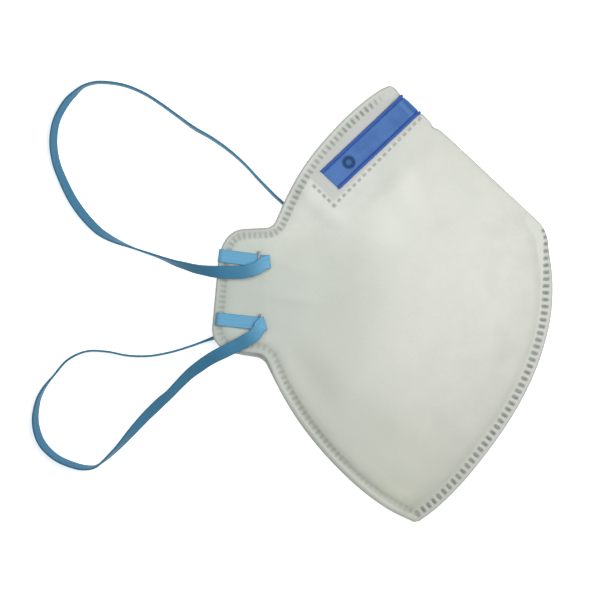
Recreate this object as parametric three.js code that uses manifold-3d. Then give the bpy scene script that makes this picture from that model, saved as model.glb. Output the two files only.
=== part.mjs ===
// Dust mask of the upright flat-fold kind, lying on its side on a table: a filter body of bonded
// non-woven sheet, a plastic nose clip bent over its fold, and two elastic head straps that are
// stapled to the ear tab, one end on the upper half of the body and one end on the lower half.
// Millimetres. +X points to the front of the mask, +Y to the nose, +Z up from the table.
import * as THREE from "three";
import { mergeVertices } from "three/addons/utils/BufferGeometryUtils.js";
import Module from "manifold-3d";

// Filter body
const WALL = 1.3; // thickness of the sheet
const MID_Z = 9.4; // height of the plane through the fold and the front seam
const BELLY_HALF = 11.2; // how far the middle of each half bulges from that plane
const SETTLE = 0.7; // how much further the lower half settles where it lies on the table
const RIM_HALF = 3.8; // how far the free face edge stands from it
const TAB_HALF = 3.9; // how far the flat ear tab stands from it
const FOLD_HALF = 2.1; // half the thickness over the nose fold
const FLANGE_HALF = 0.75; // half the thickness of the welded front seam
const FLANGE_WIDTH = 4.5;
const RISE_LENGTH = 20; // over which a half rises from the fold or seam to its belly
const RIM_LENGTH = 13; // over which it rises from the face edge
const SLIT_HALF = 0.1; // half the gap left where the two halves all but touch
const TAB_CENTRE = { x: -18, y: 3, flat: 27, end: 52 }; // flat round the tab, then rising
const SEAM_START = { from: 0.36, to: 0.42 }; // shares of the front edge where fold turns to seam

// Nose clip
const CLIP = {
  footX: 14.6, // middle of its lower end, in plan
  footY: 46.2,
  angle: THREE.MathUtils.degToRad(43.4),
  width: 10.2,
  base: 0.6, // thickness between the rails
  rail: 1.1, // thickness of the rails
  railWidth: 1.3,
  slope: 0.09, // of the sheet under it, from the fold outwards
  gap: 0.3,
  pinch: 1.6, // how far it draws the fold in
  border: 3.5, // of flat sheet round it
  margin: 9, // round that, where the sheet turns from flat to bulging
};

// Straps and staples
const STRAP_WIDTH = 5;
const STRAP_THICKNESS = 0.8;
const STRAP_CLEARANCE = 0.1; // lowest edge of a strap above the table
const TAIL_Z = 14.0; // middle of a strap tail on the upper face of the tab
const FOLD_RADIUS = 0.85; // of a strap's middle where it folds back over its tail
const STAPLE = { crown: 4.5, wire: 0.5, width: 0.7, offset: 1.45, above: 0.15, below: 2.75, slack: 0.25 };

// ---- outlines of the body, in plan ----

const point = (x, y) => new THREE.Vector2(x, y);
const line = (a, b) => new THREE.LineCurve(point(...a), point(...b));
const corner = (a, c, b) => new THREE.QuadraticBezierCurve(point(...a), point(...c), point(...b));
const through = (points) => new THREE.SplineCurve(points.map(([x, y]) => point(x, y)));

// The free edge that meets the face, from the nose tip round the ear tab to the chin tip. Each
// stretch says how many sections of the body start on it and the share of the front edge that
// they reach.
const FACE_STRETCHES = [
  {
    name: "brow edge",
    curve: through([
      [36.8, 82.3], [33.2, 80.5], [26.7, 75.7], [17.8, 67.5], [7.2, 55.3], [-0.3, 43.5], [-6.2, 30.8],
    ]),
    sections: 14,
    frontEnd: 0.387,
  },
  { name: "tab root", curve: corner([-6.2, 30.8], [-7.3, 28.3], [-9.5, 27.9]), sections: 3, frontEnd: 0.398 },
  { name: "tab top", curve: line([-9.5, 27.9], [-18.2, 27.5]), sections: 1, frontEnd: 0.413 },
  {
    name: "top corner",
    curve: corner([-18.2, 27.5], [-26.3, 27.1], [-28.3, 16]),
    sections: 4,
    frontEnd: 0.47,
  },
  { name: "tab side", curve: line([-28.3, 16], [-30.7, -10]), sections: 4, frontEnd: 0.585 },
  {
    name: "low corner",
    curve: corner([-30.7, -10], [-31.2, -19.5], [-19.5, -20.7]),
    sections: 4,
    frontEnd: 0.622,
  },
  { name: "tab foot", curve: line([-19.5, -20.7], [-14.5, -21.5]), sections: 1, frontEnd: 0.633 },
  {
    name: "foot root",
    curve: corner([-14.5, -21.5], [-10.7, -21.8], [-9.3, -25.4]),
    sections: 3,
    frontEnd: 0.648,
  },
  {
    name: "cheek edge",
    curve: through([
      [-9.3, -25.4], [-4.3, -35.4], [3.1, -47.3], [13.2, -59.8], [24.7, -71.1], [35.9, -79.5], [46.7, -85],
    ]),
    sections: 13,
    frontEnd: 1,
  },
];

// The closed edge: the nose fold, the front corner and the welded seam down to the chin tip.
const FRONT_STRETCHES = [
  { name: "nose tip", curve: corner([38.2, 82.3], [39.3, 81.8], [41, 80.4]), steps: 3 },
  { name: "nose fold", curve: line([41, 80.4], [94.1, 30.7]), steps: 60 },
  { name: "front corner", curve: corner([94.1, 30.7], [98.1, 27], [98.3, 20.5]), steps: 12 },
  {
    name: "front seam",
    curve: through([
      [98.3, 20.5], [99.9, 6.4], [98.6, -9.5], [92.7, -28.5], [82.3, -47.7], [67.9, -66.9], [56.8, -78.4],
      [48.8, -84.6],
    ]),
    steps: 80,
  },
];

const FOLD_ROUND = 0.8 * FOLD_HALF; // over this distance from the fold line the sheet turns over
const FOLD = FRONT_STRETCHES[1].curve;
const CLIP_ALONG = point(Math.cos(CLIP.angle), Math.sin(CLIP.angle));
const CLIP_ACROSS = FOLD.getTangent(0);
const smooth = (x, from, to) => THREE.MathUtils.smoothstep(x, from, to);
const mix = THREE.MathUtils.lerp;

// Place of a point along and across the nose clip, from the middle of its lower end. The clip's
// ends are parallel to the fold, which it crosses a little askew.
function clipPlace(x, y) {
  const fromFoot = point(x - CLIP.footX, y - CLIP.footY);
  const turn = CLIP_ALONG.cross(CLIP_ACROSS);
  return { along: fromFoot.cross(CLIP_ACROSS) / turn, across: CLIP_ALONG.cross(fromFoot) / turn };
}

const CLIP_FOLD = clipPlace(FOLD.v1.x, FOLD.v1.y).along - CLIP.pinch; // the fold under the clip

// The clip draws the fold in a little where it is bent over it.
function pinched(p) {
  const { along, across } = clipPlace(p.x, p.y);
  const share = 1 - smooth(Math.abs(across), CLIP.width / 2 + 3.5, CLIP.width / 2 + 8);
  const near = along > 0 ? share : 0;
  return p.clone().addScaledVector(CLIP_ALONG, -CLIP.pinch * near);
}

// A chain of curves as points with their share of the whole length.
function polyline(stretches, steps) {
  const points = [];
  for (const stretch of stretches) {
    const found = stretch.curve.getSpacedPoints(steps(stretch));
    points.push(...(points.length ? found.slice(1) : found));
  }
  return points;
}

function withShares(points) {
  const lengths = [0];
  for (let i = 1; i < points.length; i++)
    lengths.push(lengths[i - 1] + points[i].distanceTo(points[i - 1]));
  const whole = lengths[lengths.length - 1];
  return points.map((p, i) => ({ p, share: lengths[i] / whole }));
}

const FRONT_EDGE = withShares(polyline(FRONT_STRETCHES, (s) => s.steps).map(pinched));
const FACE_EDGE = withShares(polyline(FACE_STRETCHES, (s) => s.sections * 3));

// Distance from a point to an edge, and the share of the edge's length where it is nearest.
function nearest(edge, x, y) {
  let best = { distance: Infinity, share: 0 };
  for (let i = 1; i < edge.length; i++) {
    const a = edge[i - 1];
    const b = edge[i];
    const run = b.p.clone().sub(a.p);
    const t = THREE.MathUtils.clamp(point(x, y).sub(a.p).dot(run) / run.lengthSq(), 0, 1);
    const distance = Math.hypot(x - a.p.x - run.x * t, y - a.p.y - run.y * t);
    if (distance < best.distance) best = { distance, share: mix(a.share, b.share, t) };
  }
  return best;
}

function atShare(edge, share) {
  let i = 1;
  while (i < edge.length - 1 && edge[i].share < share) i++;
  const a = edge[i - 1];
  const b = edge[i];
  return a.p.clone().lerp(b.p, (share - a.share) / (b.share - a.share));
}

// ---- form of the two halves ----

const seamShare = (share) => smooth(share, SEAM_START.from, SEAM_START.to);

// Half the distance between the two halves' outer faces at a place in plan.
function halfHeight(x, y) {
  const front = nearest(FRONT_EDGE, x, y);
  const face = nearest(FACE_EDGE, x, y);
  const seam = seamShare(front.share);
  const flange = Math.min(FLANGE_WIDTH * seam, 0.6 * (front.distance + face.distance));
  const root = mix(FOLD_HALF, FLANGE_HALF, seam);
  const round = mix(FOLD_ROUND, 0.4, seam);
  const roundness = Math.sqrt(1 - (1 - Math.min(1, 0.04 + front.distance / round)) ** 2);
  const rise = 1 - Math.exp(-Math.max(0, front.distance - flange) / RISE_LENGTH);
  let half = root * roundness + (BELLY_HALF - root) * rise;
  half -= Math.max(0, half - RIM_HALF) * Math.exp(-face.distance / RIM_LENGTH);
  const fromTab = Math.hypot(x - TAB_CENTRE.x, y - TAB_CENTRE.y);
  const tab = 1 - smooth(fromTab, TAB_CENTRE.flat, TAB_CENTRE.end);
  half = mix(half, Math.min(half, TAB_HALF), tab);
  return mix(half, clipSeat(x, y, roundness), clipShare(x, y));
}

// The sheet lies straight under the clip, in a plane through the fold.
function clipSeat(x, y, roundness) {
  const inside = CLIP_FOLD - clipPlace(x, y).along;
  return FOLD_HALF * roundness + CLIP.slope * Math.max(0, inside);
}

function clipShare(x, y) {
  const { along, across } = clipPlace(x, y);
  const beside = Math.max(0, Math.abs(across) - CLIP.width / 2 - CLIP.border);
  const below = Math.max(0, -along - CLIP.border);
  return 1 - smooth(Math.hypot(beside, below), 0, CLIP.margin);
}

const upperOuterZ = (x, y) => MID_Z + halfHeight(x, y);

// The lower half lies flat where it would bulge through the table.
function lowerOuterZ(x, y) {
  const half = halfHeight(x, y);
  return Math.max(0, MID_Z - half - SETTLE * smooth(half, 0.6 * MID_Z, 0.9 * MID_Z));
}

// Distances of a section's columns from its two ends, closer where the form turns fast.
function columnShares(length, flange) {
  const scale = Math.min(1, length / 40);
  const fromFace = [0, 3, 8, 15];
  const fromFront = [flange + 14, flange + 6, flange + 2, 2.2, 1, 0.3, 0];
  const start = fromFace.map((d) => (d * scale) / length);
  const end = fromFront.map((d) => 1 - (d * scale) / length);
  const gap = end[0] - start[start.length - 1];
  const middle = [1, 2, 3, 4].map((i) => start[start.length - 1] + (gap * i) / 5);
  return [...start, ...middle, ...end];
}

// One section as a closed loop: outer face of the upper half from face edge to front, outer face
// of the lower half back, then the two inner faces.
function sectionLoop(face, front, share) {
  const length = face.distanceTo(front);
  const seam = seamShare(share);
  const flange = Math.min(FLANGE_WIDTH * seam, 0.6 * length);
  const depth = length - Math.max(flange, Math.min(WALL, 0.5 * length));
  const columns = columnShares(length, Math.max(FLANGE_WIDTH * seam, 0.5));
  const outer = columns.map((c) => face.clone().lerp(front, c));
  const inner = columns.map((c) => face.clone().lerp(front, (c * depth) / length));
  const above = (p, z) => new THREE.Vector3(p.x, p.y, z);
  const upperIn = (p) => Math.max(MID_Z + SLIT_HALF, upperOuterZ(p.x, p.y) - WALL);
  const lowerIn = (p) => Math.min(MID_Z - SLIT_HALF, lowerOuterZ(p.x, p.y) + WALL);
  return [
    ...outer.map((p) => above(p, upperOuterZ(p.x, p.y))),
    ...outer.toReversed().map((p) => above(p, lowerOuterZ(p.x, p.y))),
    ...inner.map((p) => above(p, lowerIn(p))),
    ...inner.toReversed().map((p) => above(p, upperIn(p))),
  ];
}

// Matches the sections' ends: one on the face edge, one on the front edge.
function bodySections() {
  const loops = [];
  let frontStart = 0;
  FACE_STRETCHES.forEach(({ curve, sections, frontEnd }, order) => {
    const ends = curve.getSpacedPoints(sections);
    for (let i = order === 0 ? 0 : 1; i <= sections; i++) {
      const share = mix(frontStart, frontEnd, i / sections);
      loops.push(sectionLoop(ends[i], atShare(FRONT_EDGE, share), share));
    }
    frontStart = frontEnd;
  });
  return loops;
}

// ---- meshes ----

// Joins loops of equal length into one closed mesh; caps gives the triangles of its first end.
function loftedGeometry(loops, caps) {
  const size = loops[0].length;
  const positions = loops.flat().flatMap((p) => [p.x, p.y, p.z]);
  const index = [];
  for (let i = 0; i + 1 < loops.length; i++)
    for (let j = 0; j < size; j++) {
      const a = i * size + j;
      const b = i * size + ((j + 1) % size);
      index.push(a, a + size, b, b, a + size, b + size);
    }
  const last = (loops.length - 1) * size;
  for (const [a, b, c] of caps) {
    index.push(a, b, c);
    index.push(last + a, last + c, last + b);
  }
  const geometry = new THREE.BufferGeometry();
  geometry.setAttribute("position", new THREE.Float32BufferAttribute(positions, 3));
  geometry.setIndex(index);
  return geometry;
}

// The end of the body is a hairpin: strips between outer and inner faces and one quad between.
function hairpinCaps(size) {
  const n = size / 4;
  const caps = [];
  const strip = (a, b, c, d) => caps.push([a, b, c], [a, c, d]);
  for (let j = 0; j + 1 < n; j++) {
    strip(j, j + 1, size - 2 - j, size - 1 - j);
    strip(n + j, n + j + 1, 3 * n - 2 - j, 3 * n - 1 - j);
  }
  strip(n - 1, n, 3 * n - 1, 3 * n);
  return caps;
}

const fanCaps = (size) => Array.from({ length: size - 2 }, (_, i) => [0, i + 1, i + 2]);

const wasm = await Module();
wasm.setup();

function toSolid(geometry) {
  const bare = geometry.index ? geometry.toNonIndexed() : geometry.clone();
  bare.deleteAttribute("normal");
  bare.deleteAttribute("uv");
  const merged = mergeVertices(bare, 1e-4);
  return new wasm.Manifold(
    new wasm.Mesh({
      numProp: 3,
      vertProperties: merged.attributes.position.array,
      triVerts: new Uint32Array(merged.index.array),
    }),
  );
}

function toGeometry(solid) {
  const { vertProperties, triVerts } = solid.getMesh();
  const geometry = new THREE.BufferGeometry();
  geometry.setAttribute("position", new THREE.BufferAttribute(vertProperties, 3));
  geometry.setIndex(new THREE.BufferAttribute(triVerts, 1));
  geometry.computeVertexNormals();
  return geometry;
}

const pierced = (geometry, holes) =>
  toGeometry(holes.reduce((solid, hole) => solid.subtract(toSolid(hole)), toSolid(geometry)));

function mesh(name, geometry, look) {
  const made = new THREE.Mesh(geometry, new THREE.MeshStandardMaterial(look));
  made.name = name;
  return made;
}

// ---- nose clip: a ribbed strip bent over the fold, the same on both halves ----

// The clip's inner face in the plane across the fold, from the upper foot round to the lower:
// straight along each half, an ellipse round the fold. lean is the outward direction's turn.
function clipPath() {
  const depth = FOLD_ROUND + CLIP.gap;
  const straight = CLIP_FOLD - FOLD_ROUND;
  const riseAt = (along) => FOLD_HALF + CLIP.gap + CLIP.slope * (CLIP_FOLD - along);
  const legs = Array.from({ length: 7 }, (_, i) => (straight * i) / 6);
  const upper = legs.map((along) => ({ along, rise: riseAt(along), lean: 0 }));
  const lower = legs.toReversed().map((along) => ({ along, rise: -riseAt(along), lean: Math.PI }));
  const bend = Array.from({ length: 7 }, (_, i) => {
    const lean = (Math.PI * (i + 1)) / 8;
    return { along: straight + depth * Math.sin(lean), rise: riseAt(straight) * Math.cos(lean), lean };
  });
  return [...upper, ...bend, ...lower];
}

// Section of the strip: flat inside, a raised rail along each long side outside.
function clipProfile() {
  const side = CLIP.width / 2;
  const step = side - CLIP.railWidth;
  return [
    [-side, 0],
    [side, 0],
    [side, CLIP.rail],
    [step, CLIP.rail],
    [step, CLIP.base],
    [-step, CLIP.base],
    [-step, CLIP.rail],
    [-side, CLIP.rail],
  ];
}

function clipGeometry() {
  const loops = clipPath().map(({ along, rise, lean }) => {
    const out = point(Math.sin(lean), Math.cos(lean));
    return clipProfile().map(([across, up]) => {
      const place = along + out.x * up;
      const x = CLIP.footX + CLIP_ALONG.x * place + CLIP_ACROSS.x * across;
      const y = CLIP.footY + CLIP_ALONG.y * place + CLIP_ACROSS.y * across;
      return new THREE.Vector3(x, y, MID_Z + rise + out.y * up);
    });
  });
  const caps = [[0, 1, 4], [0, 4, 5], [1, 2, 3], [1, 3, 4], [0, 5, 6], [0, 6, 7]];
  return loftedGeometry(loops, caps);
}

// ---- head straps ----

// Each end of a strap lies flat on the tab as a tail, from the tab's side to a crease, where the
// free band folds back over it and leaves in its own direction.
const STRAPS = [
  {
    name: "upper",
    tail: { x: -28.3, y: 17.3, heading: -7.8, length: 19.7, staple: 15.4 },
    nearHeading: 200,
    farHeading: 90,
    route: [
      // x, y, roll (0 and 180 flat, 90 on edge), lift of the lowest edge above the table
      { x: -13.5, y: 12.4, roll: 180, lift: 15.2 },
      { x: -18.1, y: 11.1, roll: 180, lift: 15.1 },
      { x: -24.2, y: 10.8, roll: 172, lift: 14.6 },
      { x: -29.5, y: 11.0, roll: 152, lift: 13.6 },
      { x: -33.5, y: 11.5, roll: 137, lift: 11.6 },
      { x: -37.4, y: 12.2, roll: 129, lift: 9.2 },
      { x: -41.2, y: 13.3, roll: 120, lift: 6.6 },
      { x: -45.0, y: 14.4, roll: 111, lift: 4.1 },
      { x: -48.8, y: 15.8, roll: 101, lift: 2.1 },
      { x: -52.5, y: 17.2, roll: 95, lift: 0.9 },
      { x: -60.1, y: 19.8, roll: 90, lift: 0.1 },
      { x: -63.8, y: 21.2, roll: 84, lift: 0 },
      { x: -67.5, y: 22.7, roll: 74, lift: 0 },
      { x: -71.1, y: 24.5, roll: 65, lift: 0 },
      { x: -74.5, y: 26.7, roll: 58, lift: 0 },
      { x: -80.1, y: 32.4, roll: 53, lift: 0 },
      { x: -84.7, y: 38.9, roll: 53, lift: 0 },
      { x: -88.3, y: 46.1, roll: 56, lift: 0 },
      { x: -91.1, y: 53.5, roll: 59, lift: 0 },
      { x: -92.1, y: 61.5, roll: 60, lift: 0 },
      { x: -90.8, y: 69.5, roll: 63, lift: 0 },
      { x: -86.8, y: 76.7, roll: 65, lift: 0 },
      { x: -84.0, y: 79.6, roll: 72, lift: 0 },
      { x: -80.8, y: 82.3, roll: 83, lift: 0 },
      { x: -76.9, y: 83.7, roll: 85, lift: 0 },
      { x: -72.9, y: 84.0, roll: 85, lift: 0 },
      { x: -65.0, y: 82.9, roll: 85, lift: 0 },
      { x: -57.6, y: 80.0, roll: 85, lift: 0 },
      { x: -50.8, y: 75.8, roll: 85, lift: 0 },
      { x: -44.3, y: 71.1, roll: 84, lift: 0 },
      { x: -37.8, y: 66.4, roll: 82, lift: 0 },
      { x: -30.9, y: 62.4, roll: 83, lift: 0 },
      { x: -24.4, y: 57.8, roll: 84, lift: 0 },
      { x: -18.5, y: 52.6, roll: 86, lift: 0 },
      { x: -13.0, y: 46.7, roll: 85, lift: 0 },
      { x: -7.5, y: 41.0, roll: 84, lift: 0 },
      { x: -1.7, y: 35.0, roll: 86, lift: 0 },
      { x: -1.4, y: 31.0, roll: 82, lift: 0 },
      { x: -3.6, y: 27.2, roll: 65, lift: 0.2 },
      { x: -6.8, y: 23.2, roll: 35, lift: 1.2 },
      { x: -8.4, y: 18.6, roll: 8, lift: 2.4 },
    ],
  },
  {
    name: "lower",
    tail: { x: -29.2, y: -7.0, heading: -6.4, length: 18.8, staple: 16.7 },
    nearHeading: 222,
    farHeading: 192,
    route: [
      { x: -13.9, y: -12.6, roll: 180, lift: 15.2 },
      { x: -17.4, y: -15.1, roll: 180, lift: 15.1 },
      { x: -21.2, y: -17.2, roll: 180, lift: 14.8 },
      { x: -25.2, y: -19.2, roll: 171, lift: 14.3 },
      { x: -28.9, y: -21.0, roll: 160, lift: 13.2 },
      { x: -32.4, y: -23.0, roll: 152, lift: 11.2 },
      { x: -35.7, y: -25.3, roll: 149, lift: 9.2 },
      { x: -38.9, y: -27.7, roll: 141, lift: 7.2 },
      { x: -41.8, y: -30.4, roll: 135, lift: 5.3 },
      { x: -44.6, y: -33.3, roll: 131, lift: 3.8 },
      { x: -47.4, y: -36.2, roll: 130, lift: 2.5 },
      { x: -50.4, y: -38.8, roll: 136, lift: 1.5 },
      { x: -53.3, y: -41.6, roll: 136, lift: 0.8 },
      { x: -56.2, y: -44.4, roll: 133, lift: 0.3 },
      { x: -61.6, y: -50.3, roll: 124, lift: 0 },
      { x: -66.9, y: -56.3, roll: 108, lift: 0 },
      { x: -69.7, y: -59.1, roll: 102, lift: 0 },
      { x: -72.7, y: -61.8, roll: 94, lift: 0 },
      { x: -75.9, y: -64.0, roll: 85, lift: 0 },
      { x: -79.7, y: -64.4, roll: 74, lift: 0 },
      { x: -83.6, y: -63.7, roll: 68, lift: 0 },
      { x: -91.0, y: -60.5, roll: 65, lift: 0 },
      { x: -96.7, y: -54.7, roll: 61, lift: 0 },
      { x: -99.0, y: -47.0, roll: 66, lift: 0 },
      { x: -98.1, y: -39.0, roll: 75, lift: 0 },
      { x: -96.6, y: -35.3, roll: 81, lift: 0 },
      { x: -94.4, y: -31.9, roll: 87, lift: 0 },
      { x: -91.9, y: -28.9, roll: 92, lift: 0 },
      { x: -86.6, y: -22.9, roll: 92, lift: 0 },
      { x: -79.4, y: -19.6, roll: 90, lift: 0 },
      { x: -71.4, y: -19.7, roll: 89, lift: 0 },
      { x: -63.5, y: -21.2, roll: 89, lift: 0 },
      { x: -55.6, y: -21.4, roll: 89, lift: 0 },
      { x: -47.7, y: -20.1, roll: 89, lift: 0 },
      { x: -40.1, y: -17.9, roll: 89, lift: 0 },
      { x: -32.5, y: -15.2, roll: 86, lift: 0 },
      { x: -24.6, y: -12.6, roll: 62, lift: 0.3 },
      { x: -19.4, y: -11.2, roll: 28, lift: 1.5 },
      { x: -14.9, y: -10.2, roll: 5, lift: 2.5 },
    ],
  },
];

const UP = new THREE.Vector3(0, 0, 1);
const mirrorZ = (z) => 2 * MID_Z - z;

function headingVector(degrees) {
  const a = THREE.MathUtils.degToRad(degrees);
  return new THREE.Vector3(Math.cos(a), Math.sin(a), 0);
}

// A frame of a band: its middle, and half its width as a vector across it.
const frame = (centre, half) => ({ centre, half });

// Tail and fold of one end, from the tail's cut end to the start of the free band. side is 1 on
// the upper half of the body and -1 on the lower half, where the stack hangs under the tab.
function endFrames(tail, outHeading, side) {
  const into = headingVector(tail.heading);
  const out = headingVector(outHeading);
  const across = UP.clone().cross(into);
  const normal = into.clone().sub(out).normalize();
  const crease = UP.clone().cross(normal).normalize();
  if (crease.dot(across) < 0) crease.negate();
  const z = side > 0 ? TAIL_Z : mirrorZ(TAIL_Z);
  const start = new THREE.Vector3(tail.x, tail.y, z);
  const half = STRAP_WIDTH / 2;
  const skew = crease.dot(across);
  const clear = half * Math.sqrt(1 / skew ** 2 - 1) + 0.5;
  const at = (d) => start.clone().addScaledVector(into, d);
  const tailHalf = across.clone().multiplyScalar(half);
  const straight = tail.length - clear;
  const frames = [0, 0.35, 0.7, 1].map((s) => frame(at(s * straight), tailHalf.clone()));
  for (let i = 0; i <= 6; i++) {
    const turn = (Math.PI * i) / 6;
    const centre = at(tail.length - FOLD_RADIUS).addScaledVector(normal, FOLD_RADIUS * Math.sin(turn));
    centre.z += side * FOLD_RADIUS * (1 - Math.cos(turn));
    frames.push(frame(centre, crease.clone().multiplyScalar(half / skew)));
  }
  const outAcross = UP.clone().cross(out);
  if (outAcross.dot(crease) < 0) outAcross.negate();
  const away = at(tail.length - FOLD_RADIUS).addScaledVector(out, clear);
  away.z += side * 2 * FOLD_RADIUS;
  frames.push(frame(away, outAcross.multiplyScalar(half)));
  return frames;
}

// The free band between the two folds, along its route.
function routeFrames(route) {
  const plan = route.map(({ x, y }) => new THREE.Vector3(x, y, 0));
  return route.map(({ roll, lift }, i) => {
    const ahead = plan[Math.min(i + 1, plan.length - 1)];
    const behind = plan[Math.max(i - 1, 0)];
    const left = UP.clone().cross(ahead.clone().sub(behind).normalize());
    const a = THREE.MathUtils.degToRad(roll);
    const across = left.multiplyScalar(Math.cos(a)).addScaledVector(UP, Math.sin(a));
    const rise = (STRAP_WIDTH / 2) * Math.abs(Math.sin(a)) + (STRAP_THICKNESS / 2) * Math.abs(Math.cos(a));
    const centre = plan[i].clone().setZ(lift + rise + STRAP_CLEARANCE);
    return frame(centre, across.multiplyScalar(STRAP_WIDTH / 2));
  });
}

// Puts extra frames between those of the free band, on a smooth curve.
function eased(frames, between) {
  const centres = new THREE.CatmullRomCurve3(frames.map((f) => f.centre), false, "centripetal");
  const halves = new THREE.CatmullRomCurve3(frames.map((f) => f.half), false, "catmullrom", 0.5);
  const count = (frames.length - 1) * between;
  return Array.from({ length: count + 1 }, (_, i) => {
    const half = halves.getPoint(i / count).setLength(STRAP_WIDTH / 2);
    return frame(centres.getPoint(i / count), half);
  });
}

function strapFrames(strap) {
  const near = endFrames(strap.tail, strap.nearHeading, 1);
  const far = endFrames(strap.tail, strap.farHeading, -1).toReversed();
  const free = eased([near[near.length - 1], ...routeFrames(strap.route), far[0]], 2);
  const frames = [...near.slice(0, -1), ...free, ...far.slice(1)];
  for (let i = 1; i < frames.length; i++)
    if (frames[i].half.dot(frames[i - 1].half) < 0) frames[i].half.negate();
  return frames;
}

function strapGeometry(frames) {
  const loops = frames.map(({ centre, half }, i) => {
    const ahead = frames[Math.min(i + 1, frames.length - 1)].centre;
    const behind = frames[Math.max(i - 1, 0)].centre;
    const along = ahead.clone().sub(behind).normalize();
    const face = along.cross(half).setLength(STRAP_THICKNESS / 2);
    const spot = (w, t) => centre.clone().addScaledVector(half, w).addScaledVector(face, t);
    return [spot(1, 1), spot(1, -1), spot(-1, -1), spot(-1, 1)];
  });
  return loftedGeometry(loops, fanCaps(4));
}

// ---- staples: bent wire through the tail and the sheet, clinched inside the mask ----

// A staple, or the hole that it needs when grown by its slack, as an outline with a slot.
function stapleShape(grow) {
  const top = STAPLE.wire + grow;
  const bottom = -STAPLE.below - STAPLE.wire - grow;
  const reach = STAPLE.crown / 2 + grow;
  const leg = STAPLE.crown / 2 - STAPLE.wire - grow;
  const tip = 0.35;
  const corners = [
    [-reach, bottom], [-tip, bottom], [-tip, bottom + STAPLE.wire], [-leg, bottom + STAPLE.wire],
    [-leg, 0], [leg, 0], [leg, bottom + STAPLE.wire], [tip, bottom + STAPLE.wire],
    [tip, bottom], [reach, bottom], [reach, top], [-reach, top],
  ];
  return new THREE.Shape(corners.map(([x, y]) => point(x, y)));
}

// Stands the outline up across the tail, on the tab's upper face or mirrored on its lower face.
function placedStaple(strap, side, outline, depth) {
  const into = headingVector(strap.tail.heading);
  const across = UP.clone().cross(into);
  const geometry = new THREE.ExtrudeGeometry(outline, { depth, bevelEnabled: false, steps: 1 });
  geometry.translate(STAPLE.offset, 0, -depth / 2);
  const seat = TAIL_Z + STRAP_THICKNESS / 2 + STAPLE.above;
  const spot = new THREE.Vector3(strap.tail.x, strap.tail.y, side > 0 ? seat : mirrorZ(seat));
  spot.addScaledVector(into, strap.tail.staple);
  const up = UP.clone().multiplyScalar(side);
  const depthAxis = across.clone().cross(up);
  geometry.applyMatrix4(new THREE.Matrix4().makeBasis(across, up, depthAxis));
  geometry.translate(spot.x, spot.y, spot.z);
  return geometry;
}

// The slots for a staple's two legs, cut through tail and sheet.
function legHoles(strap, side) {
  const { crown, wire, slack, below } = STAPLE;
  return [-1, 1].map((end) => {
    const middle = end * (crown / 2 - wire / 2);
    const reach = wire / 2 + slack;
    const slot = new THREE.Shape([
      point(middle - reach, -below - 0.2), point(middle + reach, -below - 0.2),
      point(middle + reach, 0.1), point(middle - reach, 0.1),
    ]);
    return placedStaple(strap, side, slot, STAPLE.width + 2 * slack);
  });
}

// ---- the assembly ----

const FABRIC = { color: 0xe4e6de, roughness: 0.9, metalness: 0 };
const CLIP_PLASTIC = { color: 0x3f72bd, roughness: 0.35, metalness: 0 };
const STRAP_ELASTIC = { color: 0x4b8db8, roughness: 0.45, metalness: 0 };
const STAPLE_WIRE = { color: 0xb9bcc0, roughness: 0.3, metalness: 1 };

const mask = new THREE.Group();
const sides = [{ name: "near", side: 1 }, { name: "far", side: -1 }];
const holes = STRAPS.flatMap((strap) => sides.flatMap(({ side }) => legHoles(strap, side)));

const loops = bodySections();
mask.add(mesh("filter_body", pierced(loftedGeometry(loops, hairpinCaps(loops[0].length)), holes), FABRIC));
mask.add(mesh("nose_clip", clipGeometry(), CLIP_PLASTIC));
for (const strap of STRAPS) {
  const own = sides.flatMap(({ side }) => legHoles(strap, side));
  mask.add(mesh(`${strap.name}_strap`, pierced(strapGeometry(strapFrames(strap)), own), STRAP_ELASTIC));
  for (const { name, side } of sides) {
    const wire = placedStaple(strap, side, stapleShape(0), STAPLE.width);
    mask.add(mesh(`${strap.name}_${name}_staple`, wire, STAPLE_WIRE));
  }
}

export default mask;
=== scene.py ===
import math

import bpy
import numpy as np
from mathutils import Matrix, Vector


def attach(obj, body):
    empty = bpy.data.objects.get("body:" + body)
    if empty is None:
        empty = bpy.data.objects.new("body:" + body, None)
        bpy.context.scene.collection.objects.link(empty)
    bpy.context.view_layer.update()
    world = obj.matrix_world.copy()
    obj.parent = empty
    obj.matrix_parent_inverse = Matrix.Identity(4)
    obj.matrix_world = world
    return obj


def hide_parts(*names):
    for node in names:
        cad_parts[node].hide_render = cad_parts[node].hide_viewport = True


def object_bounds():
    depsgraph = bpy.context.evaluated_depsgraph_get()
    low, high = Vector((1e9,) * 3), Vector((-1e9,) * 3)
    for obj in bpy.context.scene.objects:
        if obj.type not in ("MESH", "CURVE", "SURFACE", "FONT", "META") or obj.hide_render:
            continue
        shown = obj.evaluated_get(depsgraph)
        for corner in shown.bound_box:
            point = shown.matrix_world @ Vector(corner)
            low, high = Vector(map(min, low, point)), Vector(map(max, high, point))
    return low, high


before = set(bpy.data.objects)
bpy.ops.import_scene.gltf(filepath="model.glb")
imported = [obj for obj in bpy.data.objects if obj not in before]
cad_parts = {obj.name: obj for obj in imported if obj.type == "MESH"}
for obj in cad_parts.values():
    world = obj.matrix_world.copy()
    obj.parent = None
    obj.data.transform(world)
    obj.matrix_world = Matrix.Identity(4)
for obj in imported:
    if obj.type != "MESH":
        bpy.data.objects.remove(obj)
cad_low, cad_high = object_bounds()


# ---- Camera, lights and floor ----------------------------
# The camera looks straight down on the lying mask from about two metres, with a long lens, so that
# the straps on the floor and the belly above it keep their proportions. A soft lamp hangs over the
# nose, a faint one fills in from the strap side, and the floor is white and glows a little.
scene = bpy.context.scene
scene.view_settings.view_transform = "Standard"

LENS, SENSOR = 300.0, 36.0
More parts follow.
